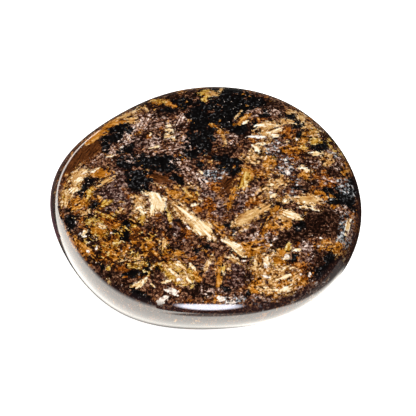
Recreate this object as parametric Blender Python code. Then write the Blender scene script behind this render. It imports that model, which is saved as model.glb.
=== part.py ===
"""Bronzite flat stone.

A flat, rounded pebble of polished bronzite, a brown rock with a bronze glint.
It is one natural piece: two broad faces that are nearly flat, and a full,
rounded edge between them. The pebble was tumbled and polished, so nothing on
it is sharp, and its colours are in the rock and not raised.

Units are metres and +Z is up. The origin is under the middle of the outline,
on the surface that the stone lies on.
"""

import math

import bmesh
import bpy
from mathutils import Vector

MM = 0.001

# Outline, seen from above
MEAN_RADIUS = 24.54 * MM
# Each swell is how many bulges it makes round the outline, how far they stand
# out, and the bearing of the first one, in degrees from +X towards +Y.
SWELLS = (
    (2, 0.54 * MM, 12.0),
    (3, 0.45 * MM, 71.0),
    (4, 0.20 * MM, 70.0),
    (5, 0.20 * MM, 25.0),
    (6, 0.13 * MM, -4.0),
)

# Rounded edge: half an ellipse, steeper where the stone was worn blunt
EDGE_HEIGHT = 8.6 * MM
EDGE_DEPTH = 4.8 * MM
EDGE_DEPTH_CHANGE = 1.7 * MM
BLUNT_BEARING = 210.0

# Broad faces
CROWN = 0.5 * MM
UNDERSIDE_RISE = 0.2 * MM
FOOT_INSET = 8.0 * MM

# How finely the surface is divided
POINTS_ROUND = 112
EDGE_STEPS = 16
FACE_STEPS = 13
UNDERSIDE_STEPS = 2

STONE_COLOUR = (0.125, 0.052, 0.022, 1.0)
STONE_ROUGHNESS = 0.12
STONE_METALLIC = 0.1


def clear_scene():
    """Remove whatever objects the file already holds."""
    for item in list(bpy.data.objects):
        bpy.data.objects.remove(item, do_unlink=True)


def outline_radius(bearing):
    """Distance from the middle to the edge at a bearing in radians."""
    radius = MEAN_RADIUS
    for bulges, height, first in SWELLS:
        radius += height * math.cos(bulges * (bearing - math.radians(first)))
    return radius


def outline_point(bearing):
    """Point of the outline at a bearing, seen from above."""
    radius = outline_radius(bearing)
    return Vector((radius * math.cos(bearing), radius * math.sin(bearing), 0.0))


def inward(bearing):
    """Level direction from the outline into the stone, square to the edge."""
    step = math.pi / POINTS_ROUND
    along = outline_point(bearing + step) - outline_point(bearing - step)
    return Vector((-along.y, along.x, 0.0)).normalized()


def edge_depth(bearing):
    """How far in from the outline the rounded edge reaches."""
    turn = bearing - math.radians(BLUNT_BEARING)
    return EDGE_DEPTH - EDGE_DEPTH_CHANGE * math.cos(turn)


def crown_height(point, bearing):
    """How far the upper face has risen above its rim."""
    share = point.length / outline_radius(bearing)
    return CROWN * (1.0 - share * share)


def underside_ring(share):
    """Ring between the flat foot (share 0) and the rounded edge (share 1)."""
    ring = []
    for bearing in bearings():
        inset = FOOT_INSET + (edge_depth(bearing) - FOOT_INSET) * share
        point = outline_point(bearing) + inward(bearing) * inset
        point.z = UNDERSIDE_RISE * (1.0 - math.cos(math.pi * share)) / 2.0
        ring.append(point)
    return ring


def edge_ring(angle):
    """Ring on the rounded edge, from -90 degrees below to 90 degrees above."""
    ring = []
    for bearing in bearings():
        inset = edge_depth(bearing) * (1.0 - math.cos(angle))
        point = outline_point(bearing) + inward(bearing) * inset
        crown = crown_height(point, bearing) * (1.0 + math.sin(angle)) / 2.0
        point.z = UNDERSIDE_RISE + EDGE_HEIGHT * (1.0 + math.sin(angle)) / 2.0 + crown
        ring.append(point)
    return ring


def face_ring(share):
    """Ring on the upper face, from its rim (share 0) towards the middle (share 1)."""
    ring = []
    for bearing in bearings():
        rim = outline_point(bearing) + inward(bearing) * edge_depth(bearing)
        point = rim * (1.0 - share)
        point.z = UNDERSIDE_RISE + EDGE_HEIGHT + crown_height(point, bearing)
        ring.append(point)
    return ring


def bearings():
    """Bearings of the points of a ring, in radians."""
    return [2.0 * math.pi * i / POINTS_ROUND for i in range(POINTS_ROUND)]


def all_rings():
    """Every ring of the stone, from the foot up over the edge to the middle."""
    rings = []
    for i in range(UNDERSIDE_STEPS):
        rings.append(underside_ring(i / UNDERSIDE_STEPS))
    for i in range(EDGE_STEPS + 1):
        rings.append(edge_ring(math.pi * (i / EDGE_STEPS - 0.5)))
    for i in range(1, FACE_STEPS):
        rings.append(face_ring(i / FACE_STEPS))
    return rings


def centred(rings):
    """Move the rings so that the middle of the outline's box is over the origin."""
    points = [point for ring in rings for point in ring]
    middle = Vector((
        (max(p.x for p in points) + min(p.x for p in points)) / 2.0,
        (max(p.y for p in points) + min(p.y for p in points)) / 2.0,
        0.0,
    ))
    return [[point - middle for point in ring] for ring in rings], middle


def add_ring(bm, ring):
    """Draw one closed ring of edges."""
    verts = [bm.verts.new(point) for point in ring]
    edges = []
    for i, vert in enumerate(verts):
        edges.append(bm.edges.new((vert, verts[(i + 1) % len(verts)])))
    return verts, edges


def stone_mesh():
    """Skin the rings, close the foot flat and the crown to a point."""
    rings, middle = centred(all_rings())
    bm = bmesh.new()
    drawn = [add_ring(bm, ring) for ring in rings]
    for lower, upper in zip(drawn, drawn[1:]):
        bmesh.ops.bridge_loops(bm, edges=lower[1] + upper[1])
    bm.faces.new(drawn[0][0])
    top = bm.faces.new(drawn[-1][0])
    peak = bmesh.ops.poke(bm, faces=[top])["verts"][0]
    peak.co = Vector((0.0, 0.0, UNDERSIDE_RISE + EDGE_HEIGHT + CROWN)) - middle
    bmesh.ops.recalc_face_normals(bm, faces=bm.faces)
    mesh = bpy.data.meshes.new("stone")
    bm.to_mesh(mesh)
    bm.free()
    mesh.shade_smooth()
    return mesh


def stone_material():
    """Polished bronzite: dark brown with a slight bronze lustre."""
    material = bpy.data.materials.new("polished bronzite")
    material.use_nodes = True
    shader = material.node_tree.nodes["Principled BSDF"]
    shader.inputs["Base Color"].default_value = STONE_COLOUR
    shader.inputs["Roughness"].default_value = STONE_ROUGHNESS
    shader.inputs["Metallic"].default_value = STONE_METALLIC
    material.diffuse_color = STONE_COLOUR
    return material


def build():
    clear_scene()
    mesh = stone_mesh()
    mesh.materials.append(stone_material())
    stone = bpy.data.objects.new("stone", mesh)
    bpy.context.scene.collection.objects.link(stone)


build()
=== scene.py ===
# %% [markdown]
# # A polished flat stone of bronzite
#
# Bronzite is a brown, iron-bearing pyroxene with a bronze glint. This stone is
# a flat pebble, tumbled until its whole surface is smooth as glass, so all of
# its character is in the rock: a tangle of black, plum, rust, gold and cream
# crystals, some of them long blades, under one clear polish.
#
# The lesson starts from a plain solid of the pebble's real form. It makes a
# fine, smooth skin over that solid, places the crystals on it, and then builds
# the material that turns those places into rock.

# %% Load the solid
import math

import bmesh
import bpy
import numpy as np
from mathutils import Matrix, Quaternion, Vector
from mathutils.kdtree import KDTree


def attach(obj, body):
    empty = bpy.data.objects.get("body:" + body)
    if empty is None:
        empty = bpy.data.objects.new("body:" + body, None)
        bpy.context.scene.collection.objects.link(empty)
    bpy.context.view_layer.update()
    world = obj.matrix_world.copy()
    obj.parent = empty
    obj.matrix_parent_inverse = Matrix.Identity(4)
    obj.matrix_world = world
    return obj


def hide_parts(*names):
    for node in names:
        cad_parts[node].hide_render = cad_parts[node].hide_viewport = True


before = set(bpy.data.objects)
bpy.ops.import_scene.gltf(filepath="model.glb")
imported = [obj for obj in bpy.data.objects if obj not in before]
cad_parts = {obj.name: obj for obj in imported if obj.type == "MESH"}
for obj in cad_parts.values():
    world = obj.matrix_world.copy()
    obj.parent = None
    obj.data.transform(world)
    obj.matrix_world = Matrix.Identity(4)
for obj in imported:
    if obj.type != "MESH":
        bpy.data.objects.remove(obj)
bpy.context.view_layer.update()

MM = 0.001

# %% [markdown]
# ## Helpers
#
# Colours are written as sRGB hex values, the way a picture shows them, and
# Blender's shaders want linear light, so one function turns one into the
# other. A second function adds a node with its settings and links, which keeps
# every material below down to a list of what it is made of.

# %% Colours and nodes
def linear(hex_colour):
    """sRGB hex, such as "c8a060", to a linear RGBA tuple."""
    channels = []
    for start in (0, 2, 4):
        value = int(hex_colour[start:start + 2], 16) / 255
        if value <= 0.04045:
            channels.append(value / 12.92)
        else:
            channels.append(((value + 0.055) / 1.055) ** 2.4)
    return (*channels, 1.0)


def add_node(tree, kind, links=None, values=None, **settings):
    """Add a node, set its options and sockets, and link sources to its inputs."""
    node = tree.nodes.new(kind)
    for name, value in settings.items():
        setattr(node, name, value)
    for socket, value in (values or {}).items():
        node.inputs[socket].default_value = value
    for socket, source in (links or {}).items():
        tree.links.new(source, node.inputs[socket])
    return node


def new_material(name):
    """An empty node material and its output node."""
    material = bpy.data.materials.new(name)
    material.use_nodes = True
    material.node_tree.nodes.clear()
    output = add_node(material.node_tree, "ShaderNodeOutputMaterial")
    return material, material.node_tree, output


def deselect():
    """Operators act on all that is selected, so every step starts from nothing."""
    if bpy.context.object and bpy.context.object.mode != "OBJECT":
        bpy.ops.object.mode_set(mode="OBJECT")
    bpy.ops.object.select_all(action="DESELECT")


def make_active(item):
    deselect()
    item.select_set(True)
    bpy.context.view_layer.objects.active = item


# %% [markdown]
# ## The camera
#
# The stone lies flat and is seen from the front, from about 52 degrees above
# level, with a long lens from close by. The camera is placed by the point it
# looks at, its height angle and its distance, because those three can each be
# read from a picture on their own.

# %% Camera
CAMERA_AIM = Vector((0.40, -2.06, 4.5)) * MM
CAMERA_HEIGHT_ANGLE = math.radians(52)
CAMERA_DISTANCE = 158.4 * MM
CAMERA_LENS = 85

towards_camera = Vector((0, -math.cos(CAMERA_HEIGHT_ANGLE), math.sin(CAMERA_HEIGHT_ANGLE)))
bpy.ops.object.camera_add(
    location=CAMERA_AIM + towards_camera * CAMERA_DISTANCE,
    rotation=(math.pi / 2 - CAMERA_HEIGHT_ANGLE, 0, 0),
)
camera = bpy.context.object
camera.data.lens = CAMERA_LENS
camera.data.sensor_width = 36
camera.data.clip_start = 0.005
bpy.context.scene.camera = camera
print("camera at, mm:", [round(v / MM, 1) for v in camera.location])

# %% [markdown]
# ## Floor and light
#
# A polished stone is a curved mirror, so what stands round it matters as much
# as the light that falls on it. The floor and every bright or dark card are
# made twice over in effect: the eye sees a plain white floor, and the polish
# sees cards that only reflections can see. That way the mirror images on the
# rounded edge can be set without touching the light on the rock.

# %% Floor
FLOOR_SIZE = 3.0
FLOOR_GLOW = 0.85


def emission(name, colour, strength):
    """A plain glowing card."""
    material, tree, output = new_material(name)
    glow = add_node(tree, "ShaderNodeEmission", values={"Color": colour, "Strength": strength})
    tree.links.new(glow.outputs[0], output.inputs["Surface"])
    return material


def floor_material():
    """Matt white paper, lit so brightly that it nearly burns out."""
    material, tree, output = new_material("white paper floor")
    paper = add_node(tree, "ShaderNodeBsdfDiffuse", values={"Color": linear("f4f4f2")})
    glow = add_node(tree, "ShaderNodeEmission", values={"Strength": FLOOR_GLOW})
    both = add_node(tree, "ShaderNodeAddShader", {0: paper.outputs[0], 1: glow.outputs[0]})
    tree.links.new(both.outputs[0], output.inputs["Surface"])
    return material


deselect()
bpy.ops.mesh.primitive_plane_add(size=FLOOR_SIZE, location=(0, 0, 0))
floor = bpy.context.object
floor.name = "floor"
floor.data.materials.append(floor_material())
floor.visible_glossy = False
floor.visible_diffuse = False

# %% A pale backdrop round the floor, for the eye only
bpy.ops.mesh.primitive_uv_sphere_add(radius=1.5, segments=48, ring_count=24)
backdrop = bpy.context.object
backdrop.name = "pale_backdrop"
backdrop.data.materials.append(emission("pale backdrop", linear("ffffff"), 1.0))
backdrop.visible_glossy = False
backdrop.visible_diffuse = False
backdrop.visible_transmission = False
backdrop.visible_volume_scatter = False
backdrop.visible_shadow = False

# %% Cards that only the polish sees
def only_in_reflections(card):
    """Hide a card from the eye and from matt surfaces, and keep it in mirrors."""
    card.visible_camera = False
    card.visible_diffuse = False
    card.visible_transmission = False
    card.visible_volume_scatter = False
    card.visible_shadow = False


def direction(bearing, height):
    """Unit vector: bearing in degrees from +X towards +Y, height in degrees."""
    turn = math.radians(bearing)
    rise = math.radians(height)
    return Vector((math.cos(turn) * math.cos(rise), math.sin(turn) * math.cos(rise), math.sin(rise)))


def smooth_step(tree, value, start, stop, low=0.0, high=1.0):
    """A soft step from low to high while a value goes from start to stop."""
    return add_node(tree, "ShaderNodeMapRange", {"Value": value},
                    {"From Min": start, "From Max": stop, "To Min": low, "To Max": high},
                    interpolation_type="SMOOTHSTEP").outputs[0]


def multiplied(tree, first, second):
    """The product of two grey values; the second may be a plain number."""
    if isinstance(second, float):
        return add_node(tree, "ShaderNodeMath", {0: first}, {1: second}, operation="MULTIPLY").outputs[0]
    return add_node(tree, "ShaderNodeMath", {0: first, 1: second}, operation="MULTIPLY").outputs[0]


def glow_card(card, colour, strength):
    """Give a card a glow whose strength is worked out by a function of its tree."""
    material, tree, output = new_material(card.name)
    glow = add_node(tree, "ShaderNodeEmission", {"Strength": strength(tree)}, {"Color": linear(colour)})
    tree.links.new(glow.outputs[0], output.inputs["Surface"])
    card.data.materials.append(material)
    only_in_reflections(card)


def object_axes(tree):
    """The three Object coordinates as single values."""
    place = add_node(tree, "ShaderNodeTexCoord").outputs["Object"]
    return add_node(tree, "ShaderNodeSeparateXYZ", {0: place}).outputs


deselect()
bpy.ops.mesh.primitive_uv_sphere_add(radius=1.4, segments=48, ring_count=24)
drape = bpy.context.object
drape.name = "dark_drape"
drape.data.materials.append(emission("dark drape", linear("1a1817"), 1.0))
only_in_reflections(drape)

# %% The floor as the polish sees it
# Shares of full brightness, and the places in mm where the shades begin and end
FLOOR_BRIGHTNESS = 5.7
CONTACT_SHADE = ((-1.5, 1.0, 0.0), 24.2, 26.6, 0.10)
LEFT_SHADE = ((-0.594, -0.805), 22.2, 24.2)
FRONT_STARTS = (11.0, 15.5)
RIGHT_SHADE = (21.0, 30.0, 0.08)
FAR_FRONT_SHADE = (42.0, 56.0, 0.16)
FAR_FRONT_LEFT_END = (-20.0, -8.0)
SHADED_SHARE = 0.015
WALL_GLOW = 3.6
WALL_TOP = 0.30


def floor_strength(tree):
    """Bright in front of the stone and to its left, shaded right beside it and behind."""
    x, y, z = object_axes(tree)
    centre, inner, outer, least = CONTACT_SHADE
    place = add_node(tree, "ShaderNodeTexCoord").outputs["Object"]
    away = add_node(tree, "ShaderNodeVectorMath", {0: place}, {1: Vector(centre) * MM},
                    operation="DISTANCE").outputs["Value"]
    contact = smooth_step(tree, away, inner * MM, outer * MM, least, 1.0)
    normal, begin, end = LEFT_SHADE
    sideways = add_node(tree, "ShaderNodeMath", {0: y}, {1: normal[1]}, operation="MULTIPLY").outputs[0]
    sloped = add_node(tree, "ShaderNodeMath", {0: x, 2: sideways}, {1: normal[0]},
                      operation="MULTIPLY_ADD").outputs[0]
    left = smooth_step(tree, sloped, begin * MM, end * MM)
    front = smooth_step(tree, y, -FRONT_STARTS[0] * MM, -FRONT_STARTS[1] * MM)
    either = add_node(tree, "ShaderNodeMath", {0: left, 1: front}, operation="MAXIMUM").outputs[0]
    lit = add_node(tree, "ShaderNodeMath", {0: either}, {1: SHADED_SHARE}, operation="MAXIMUM").outputs[0]
    right = smooth_step(tree, x, RIGHT_SHADE[0] * MM, RIGHT_SHADE[1] * MM, 1.0, RIGHT_SHADE[2])
    far = smooth_step(tree, y, -FAR_FRONT_SHADE[0] * MM, -FAR_FRONT_SHADE[1] * MM, 1.0, FAR_FRONT_SHADE[2])
    left_end = smooth_step(tree, x, FAR_FRONT_LEFT_END[0] * MM, FAR_FRONT_LEFT_END[1] * MM)
    ahead = add_node(tree, "ShaderNodeMix", {0: left_end, 3: far}, {2: 1.0}).outputs[0]
    shares = multiplied(tree, multiplied(tree, contact, lit), multiplied(tree, right, ahead))
    return multiplied(tree, shares, FLOOR_BRIGHTNESS)


deselect()
bpy.ops.mesh.primitive_plane_add(size=FLOOR_SIZE, location=(0, 0, -0.1 * MM))
bright_floor = bpy.context.object
bright_floor.name = "floor_in_reflections"
glow_card(bright_floor, "fffcf4", floor_strength)

# %% A dim lilac card close to the left side of the stone, seen only in reflections: a painted shadow on the floor, which tints the shaded edge there
SHADOW_CARD_PLACE = (-27.5, 6.5, -0.05)
SHADOW_CARD_SIZE = (9.0, 25.0)
SHADOW_CARD_COLOUR = "7c5a66"

deselect()
bpy.ops.mesh.primitive_plane_add(size=1, location=Vector(SHADOW_CARD_PLACE) * MM)
shadow_card = bpy.context.object
shadow_card.name = "painted_floor_shadow"
shadow_card.scale = (SHADOW_CARD_SIZE[0] * MM, SHADOW_CARD_SIZE[1] * MM, 1)
shadow_card.data.materials.append(emission("painted floor shadow", linear(SHADOW_CARD_COLOUR), 1.0))
only_in_reflections(shadow_card)

# %% Bright walls low over the floor, and a window behind the camera
def wall_card(name, edge, distance, colour, strength):
    """A curved strip of wall; its edge lists bearing, low and high angle in degrees."""
    bearings, lows, highs = zip(*edge)
    bm = bmesh.new()
    rows = []
    for bearing in np.linspace(bearings[0], bearings[-1], 31):
        low = np.interp(bearing, bearings, lows)
        high = np.interp(bearing, bearings, highs)
        rows.append([bm.verts.new(direction(bearing, h) * distance) for h in (low, high)])
    for left, right in zip(rows, rows[1:]):
        bm.faces.new((left[0], right[0], right[1], left[1]))
    mesh = bpy.data.meshes.new(name)
    bm.to_mesh(mesh)
    bm.free()
    card = bpy.data.objects.new(name, mesh)
    bpy.context.scene.collection.objects.link(card)
    glow_card(card, colour, strength)


def wall_strength(tree):
    """Brightest at the floor, fading to nothing at the top of the wall."""
    height = object_axes(tree)[2]
    return multiplied(tree, smooth_step(tree, height, -0.5 * WALL_TOP, WALL_TOP, 1.8, 0.0), WALL_GLOW)


def strip_strength(tree):
    return multiplied(tree, smooth_step(tree, object_axes(tree)[2], -1.0, -0.5), 5.5)


wall_card("low_bright_wall", ((164, -1, 14), (248, -1, 14)), 1.2, "fffcf6", wall_strength)
wall_card("bright_strip", ((112, 5, 13), (126, 7, 17), (138, 3, 13), (145, -1, 8), (156, -1, 4)), 1.25,
          "fffcf6", strip_strength)

WINDOW_GLOW = 17.0
WINDOW_BEARING = 272.5
WINDOW_HEIGHT = 25
WINDOW_DISTANCE = 0.6
WINDOW_SIZE = (0.32, 0.30)
WINDOW_TILT = -38


def window_strength(tree):
    """Full in the middle of the card, with a soft round edge."""
    place = add_node(tree, "ShaderNodeTexCoord").outputs["Object"]
    away = add_node(tree, "ShaderNodeVectorMath", {0: place}, operation="LENGTH").outputs["Value"]
    return multiplied(tree, smooth_step(tree, away, 0.5, 0.24), WINDOW_GLOW)


place = direction(WINDOW_BEARING, WINDOW_HEIGHT) * WINDOW_DISTANCE
deselect()
bpy.ops.mesh.primitive_plane_add(size=1, location=place)
window = bpy.context.object
window.name = "window_light"
window.scale = (*WINDOW_SIZE, 1)
window.rotation_mode = "QUATERNION"
window.rotation_quaternion = place.to_track_quat("Z", "Y") @ Quaternion((0, 0, 1), math.radians(WINDOW_TILT))
glow_card(window, "eef0ff", window_strength)

# %% Lights on the rock
def soft_light(name, bearing, height, distance, size, power, colour):
    """A large square lamp that lights the rock and leaves no mirror image."""
    place = direction(bearing, height) * distance
    deselect()
    bpy.ops.object.light_add(type="AREA", location=place)
    lamp = bpy.context.object
    lamp.name = name
    lamp.data.shape = "SQUARE"
    lamp.data.size = size
    lamp.data.energy = power
    lamp.data.color = linear(colour)[:3]
    lamp.rotation_mode = "QUATERNION"
    lamp.rotation_quaternion = place.to_track_quat("Z", "Y")
    lamp.visible_glossy = False
    return lamp


soft_light("key_light", 285, 68, 0.7, 0.5, 4.6, "fffaf4")
soft_light("fill_light", 100, 55, 0.8, 0.6, 2.4, "f4f6ff")

world = bpy.data.worlds.new("pale studio")
bpy.context.scene.world = world
world.use_nodes = True
world.node_tree.nodes["Background"].inputs["Color"].default_value = linear("ffffff")
world.node_tree.nodes["Background"].inputs["Strength"].default_value = 0.35
bpy.context.scene.view_settings.view_transform = "Standard"

# %% [markdown]
# ## The skin of the stone
#
# The real surface was tumbled smooth, so its form is exactly that of the solid
# with the flats between its points rounded away. It could be modelled again
# from a sphere, but then it would never quite match. So the solid's own mesh
# is copied, its loose triangles are merged and paired to four-sided faces, its
# flat foot is cut into shrinking rings, and a Subdivision Surface rounds it.
# The fine mesh is also what the crystals are placed on: about one point every
# third of a millimetre.

# %% Copy and clean the solid's mesh
MERGE_DISTANCE = 0.001 * MM
FOOT_RINGS = 10
SMOOTH_LEVELS = 2

stone = bpy.data.objects.new("polished_stone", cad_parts["stone"].data.copy())
bpy.context.scene.collection.objects.link(stone)
stone.data.materials.clear()
make_active(stone)
bpy.ops.object.mode_set(mode="EDIT")
bpy.ops.mesh.select_all(action="SELECT")
bpy.ops.mesh.remove_doubles(threshold=MERGE_DISTANCE)
bpy.ops.mesh.tris_convert_to_quads(face_threshold=math.radians(60), shape_threshold=math.radians(60))
bpy.ops.object.mode_set(mode="OBJECT")


def select_faces(item, rule):
    """Select the faces whose centre and normal fit a rule, in edit mode."""
    bpy.ops.object.mode_set(mode="OBJECT")
    for vert in item.data.vertices:
        vert.select = False
    for edge in item.data.edges:
        edge.select = False
    for face in item.data.polygons:
        face.select = rule(face.center, face.normal)
    bpy.ops.object.mode_set(mode="EDIT")


bpy.context.tool_settings.mesh_select_mode = (False, False, True)
select_faces(stone, lambda centre, normal: centre.z < 0.01 * MM)
bpy.ops.mesh.dissolve_faces()
for ring in range(FOOT_RINGS, 1, -1):
    shrink = (ring - 1) / ring
    bpy.ops.mesh.extrude_region()
    bpy.ops.transform.resize(value=(shrink, shrink, 1), center_override=(0, 0, 0))
bpy.ops.object.mode_set(mode="OBJECT")
print("faces before smoothing:", len(stone.data.polygons),
      "four-sided:", sum(len(f.vertices) == 4 for f in stone.data.polygons))

# %% Round it
smooth = stone.modifiers.new("rounding", "SUBSURF")
smooth.levels = SMOOTH_LEVELS
smooth.render_levels = SMOOTH_LEVELS
make_active(stone)
bpy.ops.object.modifier_apply(modifier=smooth.name)
bpy.ops.object.shade_smooth()
print("points:", len(stone.data.vertices), "triangles:", sum(len(f.vertices) - 2 for f in stone.data.polygons))

# %% [markdown]
# ## Where the crystals are
#
# In the real rock every colour is a crystal that grew in its own direction,
# and the polished face is a slice through all of them. A photograph could be
# laid over the stone, but it would carry its own light with it and would end at
# the edge. So each crystal is placed as a solid blade or lump instead: a place
# on the face, a length, a width and a bearing, all in millimetres, seen from
# above. Code then works out, for every point of the skin, how deep inside each
# crystal it is. Because the blades are solid, they run on down over the rounded
# edge as real ones do.
#
# Each list is one kind of crystal. Later lists lie over earlier ones, and the
# cover says how much of the patch is really filled: a cover of 1 is one clean
# crystal, and a lower one is a cluster of grains with the rock showing through.

# %% Kinds of crystal, from the deepest layer up
KINDS = ("russet", "plum", "rust", "umber", "soot", "slate", "rose",
         "ochre", "honey", "tan", "cream", "chalk")

PATCHES = []


def patches(kind, cover, *places):
    """Note patches of one kind: (x, y, length, width, bearing) in mm and degrees."""
    for place in places:
        PATCHES.append((kind, cover, place))


# %% Broad grounds
patches("russet", 0.95,
        (-19.3, 6.6, 5.5, 5.0, 60), (-21.8, 3.4, 6.0, 3.0, 70), (-12.5, -12.5, 15.0, 8.5, -38),
        (3.6, -1.4, 3.4, 2.6, 50), (0.7, 5.0, 2.2, 1.8, 80))
patches("plum", 0.95,
        (-11.4, 7.8, 3.4, 3.0, 40), (-13.6, 0.6, 4.6, 3.4, -75),
        (0.6, -2.8, 2.6, 4.6, 0), (2.2, -6.0, 2.6, 3.2, 0), (5.4, -4.6, 5.0, 1.5, 80),
        (-14.6, -3.4, 7.6, 5.2, -60), (-4.3, -9.5, 6.5, 2.6, -50), (4.7, -18.0, 4.4, 2.8, 85),
        (15.3, -13.2, 3.4, 2.2, -30), (16.4, -15.2, 4.0, 2.6, -40))
patches("rust", 0.62,
        (-12.5, -12.5, 14.0, 8.0, -38), (-13.0, -14.0, 8.0, 5.0, -40), (-7.5, -12.0, 5.0, 4.0, 80),
        (-18.5, -8.5, 4.0, 3.5, -60), (-17.5, -13.5, 7.0, 2.4, -50), (18.2, 1.0, 5.0, 5.5, 60),
        (14.6, -17.4, 5.0, 3.6, -40), (13.4, 10.0, 3.0, 3.6, 70), (7.6, -4.6, 2.6, 2.2, 20),
        (0.8, -5.5, 1.6, 4.0, 20), (1.6, -1.6, 2.0, 1.8, 0), (8.0, 0.8, 2.4, 2.0, 0),
        (15.0, 6.0, 3.2, 3.0, 0), (23.4, -6.6, 3.4, 2.0, 75), (6.5, -13.5, 5.0, 3.0, 30),
        (9.5, -10.6, 3.6, 3.0, 60), (-3.0, -11.0, 2.4, 1.6, 80), (8.2, 8.8, 2.0, 2.4, 60))
patches("umber", 0.9,
        (-9.6, 17.3, 6.5, 3.4, 28), (-6.0, 19.2, 4.0, 2.2, 20), (-2.6, 19.4, 3.0, 3.0, 0),
        (17.5, -8.6, 9.5, 5.2, 8), (20.4, -7.4, 3.6, 3.0, -30), (14.0, -10.6, 7.5, 3.2, 28),
        (12.0, -12.2, 4.4, 2.0, 38), (18.3, -15.3, 7.0, 3.6, 38), (21.0, 2.2, 4.6, 2.6, 20),
        (-17.0, -12.3, 3.0, 1.9, -20), (-16.9, -15.0, 2.6, 1.4, -50), (10.8, 16.8, 5.5, 3.6, -20),
        (14.0, 14.2, 3.4, 2.0, -20), (9.2, -8.2, 2.8, 1.6, 70), (-13.4, -18.6, 6.0, 2.0, -30),
        (7.0, -18.8, 2.6, 2.2, 0), (-1.2, -20.4, 4.6, 2.6, 0), (-7.8, -18.5, 2.4, 1.4, 80),
        (4.4, -9.8, 3.0, 1.4, -50), (12.0, -4.9, 2.2, 1.0, -20), (2.4, -18.2, 1.2, 4.0, 0),
        (8.0, 0.0, 2.6, 1.5, 20), (16.9, -0.3, 1.4, 2.0, 60), (16.2, -1.6, 2.2, 1.0, -10),
        (19.8, 11.0, 4.0, 2.4, -50), (6.0, 10.6, 5.0, 4.0, 30))
patches("umber", 0.97,
        (-6.8, 17.2, 8.5, 5.0, 20), (-6.4, 14.8, 5.0, 2.4, 30), (17.6, -8.4, 8.6, 5.6, 8))
patches("umber", 0.4,
        (-12.5, -12.5, 15.0, 8.5, -38))
patches("umber", 0.5,
        (-18.2, -9.5, 6.0, 3.6, -60), (-6.0, -12.0, 5.0, 5.0, 0),
        (10.5, 7.5, 8.0, 9.0, 0), (2.4, 6.2, 5.0, 3.2, 20), (11.4, -6.0, 6.0, 4.0, 0),
        (7.0, -13.0, 7.0, 4.0, 20), (-17.2, 1.5, 6.0, 4.0, 0), (16.5, 3.5, 6.0, 5.0, 0),
        (-18.2, -2.6, 5.0, 4.0, 60), (-10.8, -15.6, 4.4, 2.8, -25), (15.0, 8.0, 6.0, 6.0, 0), (-8.0, 10.5, 9.0, 6.0, 20))
patches("soot", 0.97,
        (4.2, 18.4, 11.5, 6.6, -8), (1.3, 15.0, 9.5, 8.0, 30), (-0.8, 9.6, 11.0, 4.8, 84),
        (-14.5, 9.8, 6.2, 4.2, 48), (21.6, -2.8, 5.4, 3.2, 0),
        (-2.3, 6.0, 4.6, 4.0, 60), (5.2, 15.4, 7.0, 4.6, 20), (-4.8, 16.6, 5.5, 3.0, 20),
        (-9.3, 3.7, 7.5, 3.4, -8), (-6.2, 3.2, 4.6, 4.4, -50), (-10.6, 0.2, 4.8, 4.0, -30),
        (-10.4, -1.6, 4.0, 2.2, -14), (-4.7, 0.5, 3.2, 1.5, -50), (-13.0, 3.8, 3.4, 3.0, 0),
        (-14.6, 10.2, 5.0, 2.5, 24), (-15.6, 7.6, 4.4, 1.9, 62), (-13.0, 11.6, 2.4, 1.6, 60),
        (-12.8, 6.6, 3.2, 2.2, 35), (4.2, 3.2, 5.0, 2.4, 25), (2.2, 4.4, 3.2, 1.6, 0),
        (4.9, 1.8, 2.6, 1.5, 45), (-0.6, 3.0, 2.0, 1.4, -40), (3.4, 12.0, 3.4, 2.4, 60),
        (5.6, 10.8, 3.6, 2.6, 0), (15.6, 12.2, 3.2, 2.0, 30), (14.6, 14.2, 3.4, 1.8, -15),
        (15.8, 9.8, 2.6, 1.4, 80), (8.1, 11.4, 2.4, 1.2, 80),
        (18.8, 7.6, 4.4, 2.6, 42), (12.9, 9.5, 1.3, 0.8, 0), (9.2, 9.9, 1.2, 0.8, 30),
        (9.8, 14.6, 2.6, 1.6, 40), (21.4, -1.9, 6.0, 2.0, 4), (23.6, 0.2, 4.4, 2.2, 80),
        (22.4, -4.2, 5.0, 1.5, -8), (14.4, -1.7, 3.0, 0.9, -14), (15.7, -2.4, 1.6, 0.9, 0),
        (19.4, -3.9, 1.6, 2.0, 60), (-19.0, -1.6, 3.2, 1.9, 70), (-18.0, -0.4, 3.0, 1.3, -45),
        (-17.4, -5.2, 1.9, 1.4, 10), (-20.7, -8.2, 3.6, 1.7, -68), (-21.0, -6.0, 2.2, 0.8, -5),
        (-12.5, -10.9, 2.8, 1.7, -28), (-12.2, -8.9, 1.9, 1.7, 40), (-19.2, 1.2, 1.8, 0.9, -70),
        (-11.0, -17.8, 2.8, 1.2, 15), (-8.6, -17.3, 3.2, 1.3, 85), (-10.0, -21.0, 3.4, 1.0, -24),
        (-6.3, -16.8, 1.7, 1.5, 0), (-15.7, -16.2, 1.8, 0.9, -50), (3.0, -20.4, 1.7, 0.9, -10),
        (6.4, -20.8, 1.7, 0.9, 70), (12.3, -20.7, 2.4, 0.9, 22), (-0.8, -17.8, 1.4, 0.6, 85),
        (7.4, -16.6, 1.1, 0.7, -60), (0.4, -13.1, 2.0, 0.9, -30), (-1.0, -13.8, 1.6, 1.2, 0),
        (3.2, -8.9, 1.4, 1.0, -30), (4.3, -10.3, 1.6, 0.7, 85), (11.0, -13.9, 1.6, 1.2, 60),
        (13.2, -15.0, 2.0, 1.0, 75), (17.4, -16.4, 2.6, 1.4, 35), (19.0, -14.3, 3.0, 1.2, 45),
        (14.6, -9.2, 2.0, 1.2, 40), (21.1, -9.8, 1.2, 0.8, 60), (-16.0, 0.4, 1.1, 0.35, 12),
        (-4.7, -7.7, 3.2, 0.9, -50))

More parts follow.
